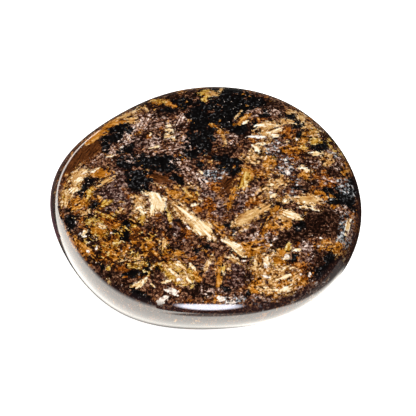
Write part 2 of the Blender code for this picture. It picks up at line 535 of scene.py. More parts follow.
# %% Mottled grounds of small pale grains
patches("slate", 0.42,
        (12.6, 3.1, 3.8, 2.8, 50), (12.3, 2.2, 2.2, 2.0, 0),
        (20.8, 6.3, 1.8, 1.4, 40), (10.8, 7.0, 2.2, 1.6, 20), (13.4, -2.7, 1.8, 1.4, 0), 
        (11.0, 5.8, 1.8, 1.2, 0), (18.8, -3.4, 1.6, 1.4, 0), (3.4, -21.6, 3.4, 1.2, -10), (1.2, 0.8, 3.0, 2.0, 20),
        (8.2, -21.8, 2.0, 0.8, 10), (14.2, -0.3, 1.4, 1.2, 0), (22.4, -0.5, 3.0, 3.0, 0),
        (22.0, -8.2, 4.0, 2.0, 75), (21.2, -10.8, 2.4, 1.4, 70))
patches("rose", 0.35,
        (-6.8, 7.7, 6.5, 3.6, 8), (-10.8, 11.6, 3.8, 2.4, 40), (-9.6, 12.6, 3.2, 3.0, 60),
        (-11.3, 14.7, 3.0, 1.5, -62), (-14.2, 7.4, 5.6, 1.2, 42), (-12.2, 10.6, 4.0, 1.4, 62),
        (-4.2, 12.2, 3.2, 1.2, 72), (-7.6, 12.4, 3.0, 1.6, 20),
        (-3.5, 3.2, 5.6, 1.8, -62), (-2.4, 1.0, 3.6, 2.3, -50), (-0.6, -0.8, 2.8, 2.4, -60),
        (-6.4, 5.9, 5.0, 1.0, 10), (6.4, -10.6, 3.4, 2.6, 20), (6.8, -2.6, 2.6, 1.6, 20),
        (2.0, -6.0, 2.0, 2.8, 0), (9.3, -11.4, 3.0, 2.2, 60),
        (0.0, -18.0, 3.4, 0.9, 82), (-13.4, 5.0, 2.6, 1.2, -30), (3.2, 8.6, 2.6, 1.0, -70),
        (4.4, 8.8, 1.6, 1.2, 0), (8.4, 14.6, 2.2, 1.2, 10), (11.4, 15.2, 1.6, 2.0, 60),
        (10.8, 6.6, 3.0, 1.8, 0), (11.9, 8.0, 2.0, 1.8, 0), (15.2, 3.0, 2.4, 1.0, 0),
        (17.6, 3.4, 2.6, 1.0, -10), (19.8, -0.4, 3.0, 1.0, -20), (21.6, -5.4, 2.0, 1.0, 20),
        (18.8, 12.2, 2.0, 1.4, 50), (21.8, 4.6, 3.4, 1.6, 60),
        (15.4, -13.6, 2.0, 2.0, 0), (-8.0, -13.2, 2.0, 1.6, 40), (2.3, -21.2, 4.0, 1.2, -8),
        (13.0, -20.4, 4.2, 1.3, 30), (10.0, -21.3, 4.0, 1.2, 8), (16.6, -18.4, 4.0, 1.3, 38), (22.4, -9.0, 3.8, 1.0, 72), (8.6, -19.0, 2.4, 1.2, 0))
patches("ochre", 0.6,
        (11.6, 10.6, 2.6, 1.6, 20), (17.4, 10.8, 2.6, 1.2, 40), (15.4, 8.2, 2.0, 1.4, 0),
        (14.2, 6.4, 3.0, 1.8, 0), (10.3, 3.6, 2.6, 2.0, 40), (9.2, 1.4, 2.4, 2.0, 0),
        (11.4, -8.0, 3.6, 2.8, -40), (16.8, -3.6, 5.0, 2.6, 10), (16.2, 1.0, 2.0, 2.0, 20),
        (-3.4, -3.4, 5.0, 2.6, -38), (-19.4, -4.2, 4.0, 2.4, 40), (-8.9, -12.9, 2.4, 1.4, 80),
        (-5.0, -14.4, 3.6, 1.2, -10), (-14.6, -13.0, 2.0, 1.4, -20), (-13.0, -15.0, 2.4, 1.2, 60),
        (9.0, -9.4, 3.6, 1.2, 72), (7.4, -13.4, 4.6, 2.6, 20), (10.6, -15.6, 2.6, 2.6, 0),
        (8.6, -17.4, 6.0, 3.0, 60), (11.0, -19.4, 6.0, 2.4, 14), (20.4, -12.4, 3.0, 1.4, 20),
        (18.3, -12.6, 3.4, 1.3, 10), (1.6, -9.4, 3.4, 1.4, -40), (4.6, -12.4, 3.0, 1.2, -30),
        (16.4, -3.2, 3.4, 1.8, 8), (-20.0, -11.5, 3.8, 0.9, -58),
        (23.0, 4.2, 4.0, 1.2, 72))
patches("honey", 0.85,
        (-4.0, -17.8, 5.6, 3.4, -40))
patches("honey", 0.40,
        (21.4, 8.4, 3.6, 2.0, -60), (18.4, 11.4, 3.0, 2.0, 50), (-21.2, -1.2, 6.5, 1.8, 72),
        (-16.6, -9.4, 3.6, 2.0, -40), (-10.6, -15.4, 4.2, 2.4, -20))
patches("honey", 0.16,
        (-12.0, -12.0, 13.0, 7.5, -38), (9.5, -17.0, 7.0, 4.0, 0))
patches("tan", 0.5,
        (9.4, 9.4, 3.4, 3.6, 50), (8.6, 5.6, 3.0, 3.0, 65), (7.2, 4.4, 3.0, 1.8, -20),
        (11.6, -0.4, 3.4, 2.4, 50), (10.6, 1.6, 2.2, 2.0, 0),
        (9.2, -3.0, 3.6, 2.4, 40), (11.6, -3.4, 3.4, 1.8, -30), (16.2, -4.2, 4.4, 2.2, -10),
        (-4.2, -17.8, 4.4, 2.4, -40), (9.2, -16.4, 5.4, 4.0, 70), (10.8, -18.8, 6.6, 3.6, 25),
        (-9.6, -6.0, 3.2, 4.4, 10), (-11.0, -15.6, 2.8, 1.4, 0), (-21.0, -1.0, 7.5, 2.4, 72),
        (18.6, 10.6, 2.6, 1.0, 40), (19.8, 4.6, 2.6, 1.6, 50), (2.8, -17.0, 2.0, 1.6, 0),
        (21.0, -12.8, 2.4, 0.9, 40), (-1.9, -1.6, 2.0, 1.4, -50), (-10.6, 16.0, 2.0, 1.4, -50))

# %% Single crystals and long blades
patches("russet", 1.0,
        (-7.0, 0.1, 5.2, 1.7, -22), (-5.2, -6.6, 4.4, 0.8, -64), (-3.6, -9.4, 3.0, 0.8, -58))
patches("rust", 1.0,
        (-17.6, 0.9, 1.8, 1.2, -50), (-9.2, 9.2, 1.8, 0.9, 82),
        (-1.1, -6.2, 1.4, 1.3, 20), (13.6, 10.6, 1.8, 1.5, 60), (13.9, 9.2, 1.5, 1.1, 60),
        (13.9, -12.5, 1.4, 1.1, 70), (-12.4, -5.5, 1.3, 0.9, 60), (0.3, 17.5, 1.1, 0.6, 85),
        (-6.2, 16.8, 3.0, 0.8, -30), (2.0, -1.9, 1.0, 0.7, 0), (18.5, -11.7, 1.4, 0.6, -5))
patches("ochre", 1.0,
        (-7.3, 17.5, 4.8, 1.2, -24), (-18.0, 10.1, 5.0, 1.9, 50), (-16.0, 12.4, 4.4, 1.8, 40), (-14.6, 12.8, 2.6, 1.2, 15),
        (-16.5, 1.5, 3.6, 1.9, 0),
        (2.3, 10.6, 2.6, 0.9, -52), (6.3, 13.2, 2.3, 0.7, 50), (8.4, 13.1, 1.1, 0.9, 60),
        (6.5, 1.2, 2.8, 2.2, -75), (6.1, -0.3, 4.4, 1.5, 78), (4.3, -3.0, 4.8, 1.2, 68),
        (3.6, -5.1, 1.9, 0.5, 80), (-16.4, -10.1, 2.6, 1.5, -38), (-15.8, -11.1, 1.4, 1.0, -60),
        (-18.1, -3.0, 3.0, 1.1, 78), (-16.0, -4.9, 1.7, 1.3, 55), (-16.4, -3.9, 1.6, 0.8, -50),
        (-10.7, -12.3, 1.3, 1.1, 0), (-13.6, -9.1, 1.1, 0.6, 20), (-4.2, -14.3, 1.7, 0.9, -10),
        (10.8, -15.8, 1.6, 1.7, 0), (11.6, -14.2, 1.4, 1.6, 20), (10.9, -5.9, 1.6, 1.3, 60),
        (-4.9, -2.7, 2.0, 1.1, -30), (0.3, -14.3, 2.6, 0.5, -42), (7.4, -20.6, 1.9, 0.6, -32),
        (1.9, -18.7, 5.4, 0.8, 88), (-1.4, -18.3, 2.0, 0.6, -52), (20.0, -5.2, 1.0, 0.7, 50), (9.9, -9.3, 1.0, 1.2, 60),
        (-17.6, -13.7, 3.4, 0.8, -45), (-2.9, -4.5, 2.2, 0.6, -44))
patches("honey", 1.0,
        (0.0, 19.7, 2.8, 2.2, 0), (0.0, 18.4, 1.8, 1.2, 80), (-8.2, 17.9, 2.8, 0.6, -22),
        (6.5, 1.2, 2.0, 1.3, -78), (5.8, -0.7, 3.2, 0.9, 76), (-3.2, -2.4, 2.6, 0.5, -46), (-1.4, -2.9, 2.4, 0.5, -50),
        (17.9, 8.5, 2.2, 1.3, 30), (21.4, 7.3, 1.8, 0.6, 50), (-5.8, -6.6, 3.6, 0.55, -74), (-17.5, -8.1, 1.0, 0.7, -20), (-18.2, -2.8, 2.4, 0.8, 76), (-15.7, -4.6, 1.9, 1.3, 50),
        (12.5, -13.3, 1.6, 0.9, 70), (-13.5, -12.2, 1.1, 0.8, 0), (2.7, -17.0, 1.3, 1.2, 80),
        (-5.4, -17.9, 1.4, 1.0, 30), (16.3, 6.9, 1.5, 1.0, 0), (5.7, 5.2, 0.8, 0.5, -30),
        (-14.4, -16.7, 0.8, 0.6, 0), (11.3, 4.6, 0.5, 0.5, 0), (-9.8, -7.7, 1.6, 0.9, 70))
patches("tan", 1.0,
        (1.3, 19.4, 1.6, 1.2, -20), (2.7, 20.9, 1.8, 0.5, 72), (-13.5, 14.3, 3.4, 1.4, 30),
        (-12.5, 13.1, 1.7, 1.5, 0), (10.3, 11.6, 3.8, 2.0, 12), (9.7, 10.0, 2.0, 1.2, 72),
        (13.1, 12.8, 1.4, 1.1, 60), (14.1, 12.7, 2.0, 1.0, -12), (16.1, 14.4, 2.8, 1.5, 75),
        (14.5, 15.5, 1.8, 1.1, 10), (17.3, 12.2, 2.6, 1.1, 50), (2.9, 9.0, 2.4, 0.6, -75),
        (6.9, -7.2, 6.2, 2.1, 37), (-2.2, -8.1, 10.0, 1.9, -47), (5.7, -8.4, 2.8, 0.9, 22), (5.7, -9.7, 2.8, 0.6, 38),
        (9.2, -5.6, 2.6, 1.8, 36), (-3.7, -6.2, 4.8, 1.2, -48), (-10.5, -4.1, 3.0, 0.9, -52),
        (-16.0, -0.3, 2.9, 1.2, 36), (-6.4, -12.5, 2.4, 0.8, 86),
        (-18.8, -6.5, 1.3, 0.7, 20), (4.6, -15.7, 2.8, 0.5, -32), (0.4, -16.2, 2.8, 0.6, 70),
        (12.6, -7.6, 2.4, 1.2, 10), (13.0, -4.6, 0.9, 0.5, 0), (-13.1, -4.6, 0.9, 0.5, 10),
        (-13.1, -6.0, 1.2, 0.8, 60), (0.8, 3.6, 1.2, 0.7, 20), (5.6, 14.4, 1.9, 0.35, 58),
        (-7.2, -1.2, 2.2, 0.35, -24), (-20.2, 0.8, 4.4, 2.0, 62), (-21.8, -3.8, 2.4, 1.0, 82),
        (-14.4, -18.6, 0.8, 0.5, -50), (16.0, -4.1, 3.6, 2.0, -8), (-16.4, -11.4, 1.3, 0.35, -38))
patches("cream", 1.0,
        (-8.0, -3.1, 3.4, 1.0, -20), (-7.4, -4.7, 3.4, 2.2, -66), (-8.2, -6.0, 2.4, 1.0, 84),
        (-6.7, -6.0, 1.6, 0.7, 80), (-9.9, -6.2, 1.6, 0.9, -60), (-1.9, -7.8, 3.2, 1.2, -46),
        (-0.1, -10.1, 3.8, 1.4, -52), (0.6, -11.4, 1.6, 0.6, -58), (4.0, -12.8, 3.6, 1.5, -36),
        (-3.4, -6.4, 4.2, 1.4, -50), (-0.4, -9.6, 3.6, 2.6, -50), (3.4, -11.6, 1.1, 0.4, -42), (5.2, -14.2, 1.6, 0.6, -48), (-1.8, -5.2, 2.0, 0.55, 14),
        (-0.7, -4.4, 1.1, 0.35, -60), (-6.4, 9.2, 2.1, 1.3, 8), (-6.0, 11.7, 0.9, 0.8, 0),
        (-6.1, 10.7, 1.3, 0.5, 0), (16.6, -4.9, 2.2, 0.7, -14), (-5.2, 8.8, 0.9, 0.6, 30),
        (9.3, 11.6, 2.0, 1.0, 10), (11.4, 11.9, 1.8, 0.9, -10), (-8.1, 6.9, 1.8, 0.5, 16), (8.4, 6.6, 1.7, 0.9, -60),
        (9.0, 7.6, 1.4, 0.6, 0), (11.6, 10.6, 2.4, 0.9, 24), (11.6, 9.4, 1.8, 0.8, 10),
        (13.5, 8.2, 1.3, 0.6, 10), (17.8, 5.6, 2.0, 1.2, 15), (15.6, 2.6, 1.1, 0.6, -50),
        (16.4, 2.1, 2.2, 0.9, -8), (13.4, -7.0, 3.0, 1.6, -22), (14.6, -7.6, 1.2, 0.5, -30),
        (16.9, -5.8, 1.8, 0.5, -18), (15.4, -5.5, 1.6, 0.5, 0), (12.4, -4.3, 1.0, 0.6, 60),
        (9.2, -15.6, 2.5, 0.9, 84), (12.1, -15.0, 1.0, 0.8, 60), (-2.6, -19.0, 1.4, 0.9, -60),
        (-3.6, -16.6, 2.6, 0.7, -44), (-4.6, -17.6, 1.8, 0.6, -40), (-5.8, -19.3, 1.6, 0.6, 10),
        (-1.9, -16.8, 1.8, 0.5, -55), (-9.8, -19.6, 1.9, 1.0, 22), (22.0, -8.4, 2.8, 0.7, 72), (-8.9, -19.0, 0.8, 0.5, 60),
        (-7.9, -19.6, 1.5, 0.4, -52), (-8.0, -16.8, 0.8, 0.6, 50), (-16.1, -8.9, 2.0, 0.7, -34),
        (-18.4, -10.3, 1.1, 0.7, 60), (-20.8, -1.8, 1.6, 1.0, 50), (-20.0, 0.4, 1.8, 0.8, 50), (-19.4, 1.9, 1.6, 0.7, 55),
        (-15.5, 5.2, 1.1, 0.6, 10), (12.0, -18.3, 2.6, 0.8, 26), (9.6, -20.2, 2.4, 0.5, -2),
        (11.9, -19.9, 2.2, 0.5, 24), (4.3, -14.9, 1.6, 0.35, -42), (13.8, -13.6, 1.0, 0.6, 10),
        (10.7, -3.3, 1.2, 0.8, 60), (10.5, -1.0, 1.3, 0.6, 10), (-0.6, 1.3, 1.0, 0.35, -48),
        (-0.7, 0.5, 1.3, 0.35, 14), (-17.9, -6.4, 0.8, 0.4, 0), (-12.0, 15.2, 1.2, 0.7, 50),
        (-9.2, 9.6, 0.8, 0.45, 80), (21.3, -13.3, 0.8, 0.4, 55), (6.6, 12.5, 1.3, 0.6, 34),
        (-17.3, 2.4, 1.2, 0.35, 38), (-18.0, 1.7, 0.7, 0.5, 0), (0.9, -14.9, 0.9, 0.4, 70))
# Chalk is the whitest grain. The specks close to the front edge, beside the mirror image of the window, stand in for
# glints there too: partly painted highlights.
patches("chalk", 1.0,
        (8.5, 9.1, 3.0, 0.55, -2), (-4.9, -20.8, 2.2, 0.8, -22), (-6.3, -21.9, 1.8, 0.8, 28),
        (9.0, -16.5, 0.9, 0.5, 80), (12.2, -14.8, 0.7, 0.6, 0), (-7.0, -1.6, 0.6, 0.35, -20),
        (-5.0, -2.9, 0.5, 0.3, 80), (-2.6, -9.5, 0.8, 0.35, -50), (-4.8, -10.8, 0.5, 0.35, -20),
        (7.5, -11.4, 0.6, 0.35, 0), (9.2, -10.8, 0.6, 0.35, 80), (9.9, -12.7, 0.5, 0.4, 0),
        (9.3, -12.5, 0.4, 0.35, 0), (10.2, -2.7, 0.7, 0.45, 20), (12.9, 4.1, 0.8, 0.4, 50),
        (13.0, 1.6, 1.1, 0.6, -60), 
        (-14.4, -10.5, 0.6, 0.45, 60), (-16.4, -13.1, 0.8, 0.35, 80), (-17.7, -13.6, 0.7, 0.4, -30),
        (-12.6, -13.7, 0.4, 0.3, 0), (-18.3, -11.0, 0.6, 0.4, 0), (-19.1, -10.5, 0.6, 0.4, 60),
        (-20.0, -8.2, 0.45, 0.3, 0), (-19.4, 1.4, 0.45, 0.35, 0),
        (14.2, -17.6, 0.4, 0.35, 0), (15.5, -17.4, 0.6, 0.35, 60), (17.6, -11.3, 0.5, 0.4, 0),
        (17.1, -12.7, 0.5, 0.4, 0), (5.6, -15.6, 0.7, 0.35, 0), 
        (-1.3, 1.0, 0.4, 0.4, 60), (9.0, -18.4, 1.1, 0.45, -10),
        (-4.0, -18.9, 0.9, 0.5, 0), (15.0, 8.6, 0.8, 0.35, 85))
patches("chalk", 0.5,
        (3.2, -22.0, 2.8, 1.0, -8))
print("patches placed by hand:", len(PATCHES))

# %% [markdown]
# ## The sides and the underside
#
# The pattern has to go on where the picture can't show it. The rock is the same
# all through, so the hidden lower half, and the back of the rounded edge, get
# crystals of the same kinds and sizes, strewn by a random draw with a fixed
# seed. Each lies in the surface where it lands, turned any way.

# %% Strew crystals over the hidden surface
SEED = 41
VISIBLE_COSINE = 0.10
HIDDEN_BELOW = 3.0 * MM
# kind, cover, how many, length range and width range in mm
STREWN = (
    ("russet", 0.9, 16, (3.0, 7.0), (1.6, 4.0)),
    ("plum", 0.9, 20, (3.0, 7.0), (1.6, 4.0)),
    ("rust", 0.6, 26, (3.0, 8.0), (2.0, 4.5)),
    ("umber", 0.9, 26, (3.0, 8.0), (1.6, 4.0)),
    ("soot", 0.97, 44, (2.0, 8.0), (1.2, 4.0)),
    ("slate", 0.42, 12, (1.5, 3.0), (1.0, 2.0)),
    ("rose", 0.58, 26, (2.0, 5.5), (1.0, 2.8)),
    ("ochre", 0.6, 26, (2.0, 5.0), (1.2, 3.0)),
    ("tan", 0.55, 24, (2.0, 5.5), (1.4, 3.4)),
    ("rust", 1.0, 14, (1.0, 3.4), (0.6, 1.4)),
    ("ochre", 1.0, 34, (1.2, 4.8), (0.6, 1.7)),
    ("honey", 1.0, 16, (0.8, 3.2), (0.5, 1.2)),
    ("tan", 1.0, 34, (1.0, 5.4), (0.5, 1.5)),
    ("cream", 1.0, 42, (0.8, 3.8), (0.4, 1.2)),
    ("chalk", 1.0, 36, (0.4, 1.6), (0.3, 0.6)),
)

count = len(stone.data.vertices)
points = np.empty(count * 3)
stone.data.vertices.foreach_get("co", points)
points = points.reshape(count, 3) / MM
normals = np.empty(count * 3)
stone.data.vertices.foreach_get("normal", normals)
normals = normals.reshape(count, 3)

facing = normals @ np.array(towards_camera)
hidden = (facing < VISIBLE_COSINE) | (points[:, 2] < HIDDEN_BELOW / MM)
upper = np.flatnonzero(normals[:, 2] > 0.02)
draw = np.random.default_rng(SEED)


def thinned(chosen, spacing):
    """Keep one point of each small cube of space, so that no area is favoured."""
    cells = np.floor(points[chosen] / spacing).astype(int)
    first = np.unique(cells, axis=0, return_index=True)[1]
    return chosen[np.sort(first)]


spots = thinned(np.flatnonzero(hidden), 0.6)
unseen = spots[facing[spots] < VISIBLE_COSINE]
DARK_KINDS = ("russet", "plum", "umber", "soot")


def turned_axes(normal, angle):
    """Length, width and depth directions of a crystal that lies in a surface."""
    helper = np.array((0.0, 0.0, 1.0)) if abs(normal[2]) < 0.9 else np.array((1.0, 0.0, 0.0))
    side = np.cross(helper, normal)
    side /= np.linalg.norm(side)
    other = np.cross(normal, side)
    along = side * math.cos(angle) + other * math.sin(angle)
    return np.array((along, np.cross(normal, along), normal))


def place_by_hand(place):
    """Centre on the skin, axes and sizes of a patch that was placed from above."""
    x, y, length, width, bearing = place
    nearest = upper[np.argmin(np.hypot(points[upper, 0] - x, points[upper, 1] - y))]
    centre = np.array((x, y, points[nearest, 2]))
    turn = math.radians(bearing)
    axes = np.array(((math.cos(turn), math.sin(turn), 0.0),
                     (-math.sin(turn), math.cos(turn), 0.0),
                     (0.0, 0.0, 1.0)))
    return centre, axes, length, width


crystals = [(kind, cover, *place_by_hand(place)) for kind, cover, place in PATCHES]
strewn = []
for kind, cover, how_many, lengths, widths in STREWN:
    for spot in draw.choice(spots if kind in DARK_KINDS else unseen, how_many):
        axes = turned_axes(normals[spot], draw.uniform(0, math.pi))
        strewn.append((kind, cover, points[spot], axes, draw.uniform(*lengths), draw.uniform(*widths)))
print("points on the hidden surface:", len(spots), "crystals strewn there:", len(strewn))

# %% [markdown]
# ## From crystals to attributes
#
# Each kind of crystal gets one number at every point of the skin: how far the
# point is inside the nearest crystal of that kind, in millimetres, with less
# than nothing outside. The material will add noise to that number and cut it at
# zero, which gives every crystal a ragged edge much finer than the mesh. Three
# more attributes say which way the grain of the crystal runs, how light or dark
# this one crystal is, and where a painted shade darkens the steep edge.

# %% How deep inside each crystal the skin is
OUTSIDE = -3.0
LEAST_REACH = 0.5
MOST_REACH = 1.5
HALF_COVER_SPREAD = 0.85
GRAIN_MARGIN = -0.35

# How near to showing a kind is where no crystal of it was placed: stray flecks
STRAY = {"rust": -0.40, "soot": -0.50, "umber": -0.55, "rose": -0.9, "ochre": -0.60, "tan": -0.75,
         "cream": -0.75, "chalk": -0.70}
ZONE_SPACING = 2.6

# Where the edge turns down steeply, at the front and the sides, a painted shade darkens the rock:
# upward part of the normal and y in mm between which it does so
STEEP_NORMAL = (0.78, 0.58)
STEEP_BEFORE = (10.0, 4.0)

painted_edge_shade = (np.clip((STEEP_NORMAL[0] - normals[:, 2]) / (STEEP_NORMAL[0] - STEEP_NORMAL[1]), 0, 1)
         * np.clip((STEEP_BEFORE[0] - points[:, 1]) / (STEEP_BEFORE[0] - STEEP_BEFORE[1]), 0, 1))
low_edge = points[:, 2] < HIDDEN_BELOW / MM
fields = {kind: np.where(low_edge, OUTSIDE, STRAY.get(kind, OUTSIDE)) for kind in KINDS}
zones = thinned(np.arange(count), ZONE_SPACING)
own_zone = KDTree(len(zones))
for index, zone in enumerate(zones):
    own_zone.insert(points[zone], index)
own_zone.balance()
nearest_zone = np.array([own_zone.find(point)[1] for point in points])
grain = np.empty((count, 3))
for index, zone in enumerate(zones):
    mine = nearest_zone == index
    axes = turned_axes(normals[zone], draw.uniform(0, math.pi))
    grain[mine] = (points[mine] - points[zone]) @ axes.T + draw.uniform(-50, 50, 3)
tone = draw.uniform(0, 1, len(zones))[nearest_zone]
print("zones of ground with their own grain:", len(zones))


def cover_limit(cover):
    """How deep a field may get, so that only a share of the patch is filled."""
    if cover >= 1.0:
        return MOST_REACH
    return HALF_COVER_SPREAD * (cover - 0.5)


def add_crystal(kind, cover, centre, axes, length, width):
    """Lay one crystal over what is there."""
    local = (points - centre) @ axes.T
    depth = 0.8 * width + 1.2
    ratio = np.sqrt((local[:, 0] / (length / 2)) ** 2 + (local[:, 1] / (width / 2)) ** 2
                    + (local[:, 2] / depth) ** 2)
    reach = min(max(width / 2, LEAST_REACH), MOST_REACH)
    inside = np.maximum((1 - ratio) * reach, OUTSIDE)
    level = KINDS.index(kind)
    if cover >= 0.9:
        for higher in KINDS[level + 1:]:
            fields[higher] = np.minimum(fields[higher], np.maximum(-inside, OUTSIDE))
    near = inside > GRAIN_MARGIN
    grain[near] = local[near] + draw.uniform(-50, 50, 3)
    tone[near] = draw.uniform(0, 1)
    fields[kind] = np.maximum(fields[kind], np.minimum(inside, cover_limit(cover)))


for crystal in strewn + crystals:
    add_crystal(*crystal)

for kind in KINDS:
    layer = stone.data.attributes.new(kind, "FLOAT", "POINT")
    layer.data.foreach_set("value", fields[kind].astype(np.float32))
    print(kind, "covers about", round(100 * float(np.mean(fields[kind] > 0))), "% of the points")
layer = stone.data.attributes.new("grain", "FLOAT_VECTOR", "POINT")
layer.data.foreach_set("vector", grain.astype(np.float32).ravel())
for name, values in (("tone", tone), ("painted_edge_shade", painted_edge_shade)):
    layer = stone.data.attributes.new(name, "FLOAT", "POINT")
    layer.data.foreach_set("value", values.astype(np.float32))

# %% [markdown]
# ## The material
#
# Bronzite is a silicate with an index of refraction near 1.67, a little higher
# than glass, so its polish gives clear mirror images. Thin plates inside the
# crystals send back a soft metallic light under that surface, which is the
# bronze glint. So the material has two layers: a clear coat for the polish, and
# below it a rougher base that is a little metallic in the golden crystals.
#
# The base colour is built in the order of the kinds of crystal. For each, the
# attribute plus noise is cut at zero to a mask, and a colour ramp turns fine
# grain into that crystal's own range of colours. Over them come painted glints,
# pale pinpricks of light, and a painted shade on the steep edge at the front and
# the sides.

# %% Colours of the crystals
# Each ramp goes from the darkest grains to the brightest: position and colour.
RAMPS = {
    "ground": ((0.10, "140a07"), (0.34, "2f1810"), (0.50, "4a2a1c"), (0.66, "6a422c"), (0.99, "b08668")),
    "russet": ((0.15, "1e0c06"), (0.38, "3e1f0b"), (0.55, "542d12"), (0.74, "704020"), (0.99, "9c683e")),
    "plum": ((0.10, "1a0d0a"), (0.34, "301b16"), (0.50, "442921"), (0.68, "5e4038"), (0.99, "a89084")),
    "rust": ((0.10, "2a1004"), (0.34, "5a2a08"), (0.52, "88440c"), (0.70, "ac641a"), (0.99, "daa05a")),
    "umber": ((0.20, "0b0503"), (0.44, "1f0f09"), (0.62, "321b12"), (0.82, "4c3022"), (0.99, "745846")),
    "soot": ((0.30, "050404"), (0.62, "0d0b0b"), (0.82, "191818"), (0.94, "2e2e2f"), (0.99, "4a4a4b")),
    "slate": ((0.05, "0e0f11"), (0.32, "34373b"), (0.52, "74797d"), (0.74, "b4b8ba"), (0.99, "e8eaeb")),
    "rose": ((0.05, "1a0c08"), (0.33, "42271c"), (0.51, "805c4a"), (0.72, "c2a290"), (0.99, "f8ece4")),
    "ochre": ((0.05, "371704"), (0.30, "7c4307"), (0.50, "b46a14"), (0.70, "d89438"), (0.99, "f4ce8e")),
    "honey": ((0.05, "48290a"), (0.30, "9a6010"), (0.50, "d49c34"), (0.70, "eccb70"), (0.99, "fceec0")),
    "tan": ((0.05, "3e1f0c"), (0.28, "865022"), (0.48, "c88e4a"), (0.70, "e9c07c"), (0.99, "fceed2")),
    "cream": ((0.05, "6e3e1c"), (0.26, "c08848"), (0.44, "eac688"), (0.64, "fceac4"), (0.90, "fffff4")),
    "chalk": ((0.05, "887468"), (0.28, "c4b2a4"), (0.48, "e8dacc"), (0.72, "fcf4ea")),
}
# How much of the grain runs as fibres along the crystal, 0 to 1
FIBRES = {"ground": 0.2, "russet": 0.5, "plum": 0.1, "rust": 0.2, "umber": 0.2, "soot": 0.1, "slate": 0.1,
          "rose": 0.38, "ochre": 0.35, "honey": 0.25, "tan": 0.3, "cream": 0.4, "chalk": 0.2}
# Deep inside a clean crystal the grain is calmer and more fibrous: between which depths in mm, what
# share of fibres it reaches, how far its grain is levelled, and the grain value it is levelled to
CLEAN_DEPTH = (0.10, 0.40)
CLEAN_FIBRES = 0.75
CLEAN_SHARE = 0.5
CLEAN_LEVEL = {"russet": 0.50, "rust": 0.54, "ochre": 0.58, "honey": 0.60, "tan": 0.62, "cream": 0.62}
# How ragged each kind's edge is, and how large its flakes are, both in mm
EDGES = {"russet": (1.2, 1.2), "plum": (1.6, 0.9), "rust": (2.0, 0.9), "umber": (1.8, 1.0),
         "soot": (1.4, 0.8), "slate": (2.0, 0.38), "rose": (2.2, 0.5), "ochre": (1.9, 0.6),
         "honey": (1.5, 0.6), "tan": (1.7, 0.5), "cream": (1.2, 0.6), "chalk": (0.8, 0.5)}
METALLIC = {"ground": 0.1, "russet": 0.15, "plum": 0.1, "rust": 0.2, "umber": 0.1, "soot": 0.1, "slate": 0.2,
            "rose": 0.1, "ochre": 0.3, "honey": 0.35, "tan": 0.3, "cream": 0.2, "chalk": 0.0}

GRAIN_SIZE = 0.34
FINE_SIZE = 0.36
FINE_CONTRAST = 2.4
BLEND_CONTRAST = 1.8
FIBRE_WIDTH = 0.38
FIBRE_LENGTH = 2.6
EDGE_SOFTNESS = 0.03
GROUP_SIZE = 2.4
GROUPING = 0.7
EDGE_FIBRES = 0.35
FLAKE_SHARE = 0.5
CLOUD_SIZE = 1.7
CLOUD_SHIFT = 0.16
TONE_SHIFT = 0.08
# Painted glints, pale pinpricks of light in the base colour: spacing and greatest radius in mm, share of cells with
# one, colour
GLINT_SPACING = 0.60
GLINT_RADIUS = 0.12
GLINT_SHARE = 0.35
PAINTED_GLINT_COLOUR = "d4c0b0"
# The painted shade on the steep edge at the front and the sides: how strong it is, and its colour
EDGE_SHADE_STRENGTH = 0.75
EDGE_SHADE_COLOUR = "281a1c"


def shifted(tree, vector, number):
    """Move a pattern aside, so that each kind has its own part of it."""
    return add_node(tree, "ShaderNodeVectorMath", {0: vector},
                    {1: (number * 17.3, number * 5.1, number * 9.7)}, operation="ADD").outputs[0]


def noise(tree, vector, size, detail=3.0, roughness=0.6, number=0):
    """Noise with features of about a given size in mm, averaging 0.5."""
    return add_node(tree, "ShaderNodeTexNoise", {"Vector": shifted(tree, vector, number)},
                    {"Scale": 1.0 / size, "Detail": detail, "Roughness": roughness}).outputs["Fac"]


def random_cells(tree, vector, size, number):
    """Flakes of about a given size in mm, each with its own value from 0 to 1."""
    cells = add_node(tree, "ShaderNodeTexVoronoi", {"Vector": shifted(tree, vector, number)},
                     {"Scale": 1.0 / size})
    return add_node(tree, "ShaderNodeSeparateColor", {0: cells.outputs["Color"]}).outputs[0]


def blend_values(tree, first, second, share):
    """A weighted mean of two grey values."""
    return add_node(tree, "ShaderNodeMix", {2: first, 3: second}, {0: share}).outputs[0]


def stronger(tree, value, contrast):
    """More contrast about the middle grey."""
    return add_node(tree, "ShaderNodeMath", {0: value}, {1: contrast, 2: 0.5 - 0.5 * contrast},
                    operation="MULTIPLY_ADD").outputs[0]


def grain_values(tree):
    """Millimetre coordinates, even grain and fibrous grain, shared by every kind."""
    place = add_node(tree, "ShaderNodeTexCoord").outputs["Object"]
    mm = add_node(tree, "ShaderNodeVectorMath", {0: place}, {1: (1 / MM, 1 / MM, 1 / MM)},
                  operation="MULTIPLY", label="millimetres").outputs[0]
    warp = add_node(tree, "ShaderNodeTexNoise", {"Vector": mm}, {"Scale": 2.2, "Detail": 2.0}).outputs["Color"]
    bent = add_node(tree, "ShaderNodeVectorMath", {0: warp, 2: mm}, {1: (0.5, 0.5, 0.5)},
                    operation="MULTIPLY_ADD").outputs[0]
    cell = random_cells(tree, bent, GRAIN_SIZE, 0)
    fine = stronger(tree, noise(tree, mm, FINE_SIZE, 2.0, 0.7), FINE_CONTRAST)
    even = blend_values(tree, cell, fine, 0.55)

    along = add_node(tree, "ShaderNodeAttribute", attribute_name="grain").outputs["Vector"]
    stretched = add_node(tree, "ShaderNodeVectorMath", {0: along},
                         {1: (1 / FIBRE_LENGTH, 1 / FIBRE_WIDTH, 1 / FIBRE_WIDTH)},
                         operation="MULTIPLY").outputs[0]
    fibre = stronger(tree, noise(tree, stretched, 1.0), FINE_CONTRAST)
    return mm, bent, even, fibre


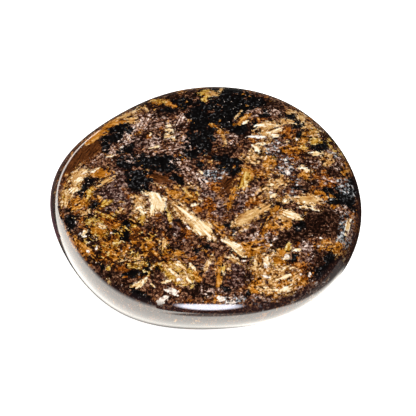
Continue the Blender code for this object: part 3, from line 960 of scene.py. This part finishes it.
def crystal_colour(tree, kind, depth, even, fibre, tone_shift):
    """The range of colours of one kind of crystal, calmer deep inside a clean one."""
    if kind in CLEAN_LEVEL:
        fibres = smooth_step(tree, depth, *CLEAN_DEPTH, FIBRES[kind], CLEAN_FIBRES)
        value = add_node(tree, "ShaderNodeMix", {0: fibres, 2: even, 3: fibre}).outputs[0]
        calm = smooth_step(tree, depth, *CLEAN_DEPTH, 0.0, CLEAN_SHARE)
        clearer = add_node(tree, "ShaderNodeMix", {0: calm, 2: stronger(tree, value, BLEND_CONTRAST)},
                           {3: CLEAN_LEVEL[kind]}).outputs[0]
    else:
        clearer = stronger(tree, blend_values(tree, even, fibre, FIBRES[kind]), BLEND_CONTRAST)
    toned = add_node(tree, "ShaderNodeMath", {0: clearer, 1: tone_shift}, operation="ADD").outputs[0]
    ramp = add_node(tree, "ShaderNodeValToRGB", {0: toned}, label=kind)
    stops = ramp.color_ramp.elements
    for place, colour in RAMPS[kind]:
        stop = stops.new(place)
        stop.color = linear(colour)
    stops.remove(stops[0])
    stops.remove(stops[len(stops) - 1])
    return ramp.outputs["Color"]


def crystal_mask(tree, kind, depth, mm, bent, fibre, number):
    """1 inside the crystals of a kind and 0 outside, with an edge of flakes and fibres."""
    swing, size = EDGES[kind]
    lumps = stronger(tree, noise(tree, mm, size, 3.0, 0.6, number), FINE_CONTRAST)
    flakes = random_cells(tree, bent, size, number)
    rough = blend_values(tree, blend_values(tree, lumps, flakes, FLAKE_SHARE), fibre, EDGE_FIBRES)
    groups = noise(tree, mm, GROUP_SIZE, 2.0, 0.5, number + 20)
    ragged = add_node(tree, "ShaderNodeMath", {0: groups, 2: rough}, {1: GROUPING},
                      operation="MULTIPLY_ADD").outputs[0]
    moved = add_node(tree, "ShaderNodeMath", {0: ragged, 2: depth}, {1: swing},
                     operation="MULTIPLY_ADD").outputs[0]
    limit = swing * (1 + GROUPING) / 2
    return smooth_step(tree, moved, limit - EDGE_SOFTNESS, limit + EDGE_SOFTNESS)


def painted_glint_mask(tree, mm):
    """Painted glints: pale pinpricks of light in the base colour, round spots in some cells of a random pattern."""
    cells = add_node(tree, "ShaderNodeTexVoronoi", {"Vector": mm}, {"Scale": 1.0 / GLINT_SPACING})
    chance = add_node(tree, "ShaderNodeSeparateColor", {0: cells.outputs["Color"]}).outputs[1]
    size = add_node(tree, "ShaderNodeMapRange", {"Value": chance},
                    {"From Min": 1 - GLINT_SHARE, "To Max": GLINT_RADIUS / GLINT_SPACING}).outputs[0]
    inside = add_node(tree, "ShaderNodeMath", {0: size, 1: cells.outputs["Distance"]},
                      operation="SUBTRACT").outputs[0]
    return smooth_step(tree, inside, 0.0, 0.03)


def bronzite_material():
    """Polished bronzite: many crystals under one clear polish."""
    material, tree, output = new_material("polished bronzite")
    mm, bent, even, fibre = grain_values(tree)
    tone_value = add_node(tree, "ShaderNodeAttribute", attribute_name="tone").outputs["Fac"]
    cloud = noise(tree, mm, CLOUD_SIZE, 2.0, 0.5, 2.0)
    of_tone = add_node(tree, "ShaderNodeMapRange", {"Value": tone_value},
                       {"To Min": -TONE_SHIFT / 2, "To Max": TONE_SHIFT / 2}).outputs[0]
    of_cloud = add_node(tree, "ShaderNodeMapRange", {"Value": cloud},
                        {"To Min": -CLOUD_SHIFT / 2, "To Max": CLOUD_SHIFT / 2}).outputs[0]
    tone_shift = add_node(tree, "ShaderNodeMath", {0: of_tone, 1: of_cloud}, operation="ADD").outputs[0]
    colour = crystal_colour(tree, "ground", None, even, fibre, tone_shift)
    metal = None
    for number, kind in enumerate(KINDS, start=1):
        depth = add_node(tree, "ShaderNodeAttribute", attribute_name=kind).outputs["Fac"]
        mask = crystal_mask(tree, kind, depth, mm, bent, fibre, number)
        own = crystal_colour(tree, kind, depth, even, fibre, tone_shift)
        colour = add_node(tree, "ShaderNodeMix", {0: mask, 6: colour, 7: own}, data_type="RGBA").outputs[2]
        if metal is None:
            metal = add_node(tree, "ShaderNodeMix", {0: mask},
                             {2: METALLIC["ground"], 3: METALLIC[kind]}).outputs[0]
        else:
            metal = add_node(tree, "ShaderNodeMix", {0: mask, 2: metal}, {3: METALLIC[kind]}).outputs[0]
    # Painted glints: pale pinpricks of light laid over the crystal colours
    colour = add_node(tree, "ShaderNodeMix", {0: painted_glint_mask(tree, mm), 6: colour}, {7: linear(PAINTED_GLINT_COLOUR)},
                      data_type="RGBA").outputs[2]
    # Painted shade: the steep edge at the front and the sides is darkened towards the shade colour
    edge = add_node(tree, "ShaderNodeAttribute", attribute_name="painted_edge_shade").outputs["Fac"]
    colour = add_node(tree, "ShaderNodeMix", {0: multiplied(tree, edge, EDGE_SHADE_STRENGTH), 6: colour},
                      {7: linear(EDGE_SHADE_COLOUR)}, data_type="RGBA").outputs[2]
    shader = add_node(tree, "ShaderNodeBsdfPrincipled", {"Base Color": colour, "Metallic": metal},
                      {"Roughness": 0.45, "IOR": 1.5, "Coat Weight": 1.0, "Coat Roughness": 0.03,
                       "Coat IOR": 1.67, "Specular IOR Level": 0.0})
    tree.links.new(shader.outputs[0], output.inputs["Surface"])
    return material


stone.data.materials.append(bronzite_material())
print("material nodes:", len(stone.data.materials[0].node_tree.nodes))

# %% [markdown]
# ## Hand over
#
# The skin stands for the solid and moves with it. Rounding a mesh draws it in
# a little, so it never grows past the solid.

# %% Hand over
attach(stone, "root")
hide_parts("stone")
